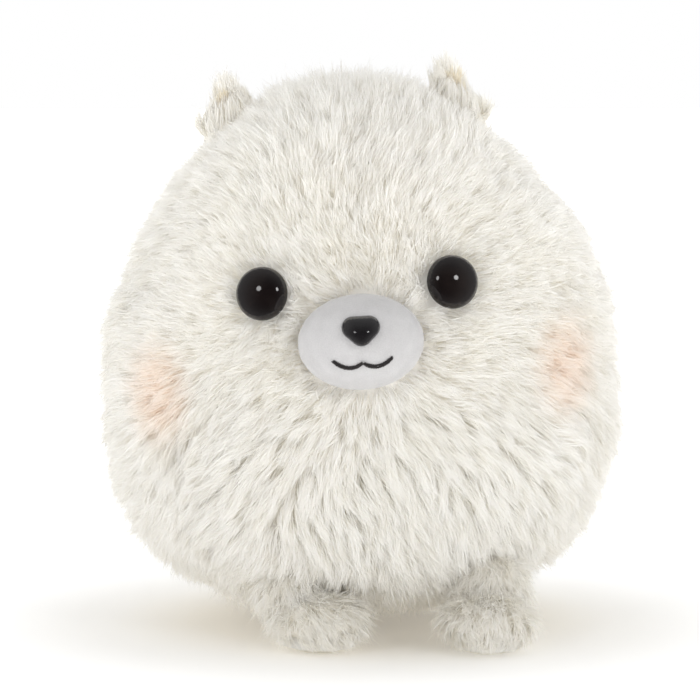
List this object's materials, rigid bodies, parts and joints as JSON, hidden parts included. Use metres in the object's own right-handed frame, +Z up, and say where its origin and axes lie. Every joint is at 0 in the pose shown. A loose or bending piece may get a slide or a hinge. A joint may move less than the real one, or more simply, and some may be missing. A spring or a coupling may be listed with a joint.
{
  "type": "plush dog",
  "caption": "Round fluffy long-pile plush dog with pointed ears, short muzzle, domed eyes, short feet and a tuft tail, for holding and display.",
  "frame": {"origin": "on the floor under the middle of the dog", "axes": "+Z up, the dog faces -Y, its left side is +X"},
  "size_m": [0.325, 0.382, 0.3558],
  "materials": {
    "long_pile_plush": "long soft pile, about 14 mm, on a knitted backing, with a peach tint on both cheeks",
    "muzzle_velboa": "short dense pile, matt",
    "sole_velboa": "short dense pile, matt",
    "ear_lining_plush": "long pile with a beige tint",
    "polyester_fibre": "loose hollow fibre filling",
    "eye_gloss": "moulded, polished dome",
    "nose_gloss": "moulded, satin gloss",
    "washer_plastic": "push-on lock washer",
    "mouth_thread": "satin-stitched embroidery thread",
    "closing_thread": "hand-sewn ladder stitch",
    "label_ribbon": "blank folded satin ribbon"
  },
  "bodies": {
    "ball": {"back_left_panel": "long_pile_plush", "back_right_panel": "long_pile_plush", "belly_panel": "long_pile_plush", "care_label": "label_ribbon", "closing_stitches": "closing_thread", "fibre_fill": "polyester_fibre", "front_left_panel": "long_pile_plush", "front_right_panel": "long_pile_plush", "left_eye": "eye_gloss", "left_eye_washer": "washer_plastic", "mouth_stitches": "mouth_thread", "muzzle_cover": "muzzle_velboa", "muzzle_fill": "polyester_fibre", "nose": "nose_gloss", "nose_washer": "washer_plastic", "right_eye": "eye_gloss", "right_eye_washer": "washer_plastic", "side_left_panel": "long_pile_plush", "side_right_panel": "long_pile_plush"},
    "front_left_leg": {"front_left_leg_cover": "long_pile_plush", "front_left_leg_fill": "polyester_fibre", "front_left_sole": "sole_velboa"},
    "front_right_leg": {"front_right_leg_cover": "long_pile_plush", "front_right_leg_fill": "polyester_fibre", "front_right_sole": "sole_velboa"},
    "left_ear": {"left_ear_inner": "ear_lining_plush", "left_ear_outer": "long_pile_plush"},
    "rear_left_leg": {"rear_left_leg_cover": "long_pile_plush", "rear_left_leg_fill": "polyester_fibre", "rear_left_sole": "sole_velboa"},
    "rear_right_leg": {"rear_right_leg_cover": "long_pile_plush", "rear_right_leg_fill": "polyester_fibre", "rear_right_sole": "sole_velboa"},
    "right_ear": {"right_ear_inner": "ear_lining_plush", "right_ear_outer": "long_pile_plush"},
    "tail": {"tail_cover": "long_pile_plush", "tail_fill": "polyester_fibre"}
  },
  "joints": [
    {"name": "left_ear_flop", "type": "hinge", "parent": "ball", "child": "left_ear", "pos_m": [0.06075, -0.015, 0.32318], "axis": [0.91, 0, -0.4147], "range_deg": [-20, 20], "stiffness_Nm_per_rad": 0.08},
    {"name": "right_ear_flop", "type": "hinge", "parent": "ball", "child": "right_ear", "pos_m": [-0.08298, -0.015, 0.31439], "axis": [0.8526, 0, 0.5225], "range_deg": [-20, 20], "stiffness_Nm_per_rad": 0.08},
    {"name": "front_right_leg_flex", "type": "hinge", "parent": "ball", "child": "front_right_leg", "pos_m": [-0.042, -0.092, 0.036], "axis": [1, 0, 0], "range_deg": [-10, 10], "stiffness_Nm_per_rad": 2},
    {"name": "front_left_leg_flex", "type": "hinge", "parent": "ball", "child": "front_left_leg", "pos_m": [0.076, -0.092, 0.036], "axis": [1, 0, 0], "range_deg": [-10, 10], "stiffness_Nm_per_rad": 2},
    {"name": "rear_right_leg_flex", "type": "hinge", "parent": "ball", "child": "rear_right_leg", "pos_m": [-0.036, 0.09, 0.036], "axis": [1, 0, 0], "range_deg": [-10, 10], "stiffness_Nm_per_rad": 2},
    {"name": "rear_left_leg_flex", "type": "hinge", "parent": "ball", "child": "rear_left_leg", "pos_m": [0.078, 0.09, 0.036], "axis": [1, 0, 0], "range_deg": [-10, 10], "stiffness_Nm_per_rad": 2},
    {"name": "tail_wag", "type": "hinge", "parent": "ball", "child": "tail", "pos_m": [0.00226, 0.15, 0.10007], "axis": [0.9981, 0, 0.061], "range_deg": [-20, 20], "stiffness_Nm_per_rad": 0.08}
  ]
}
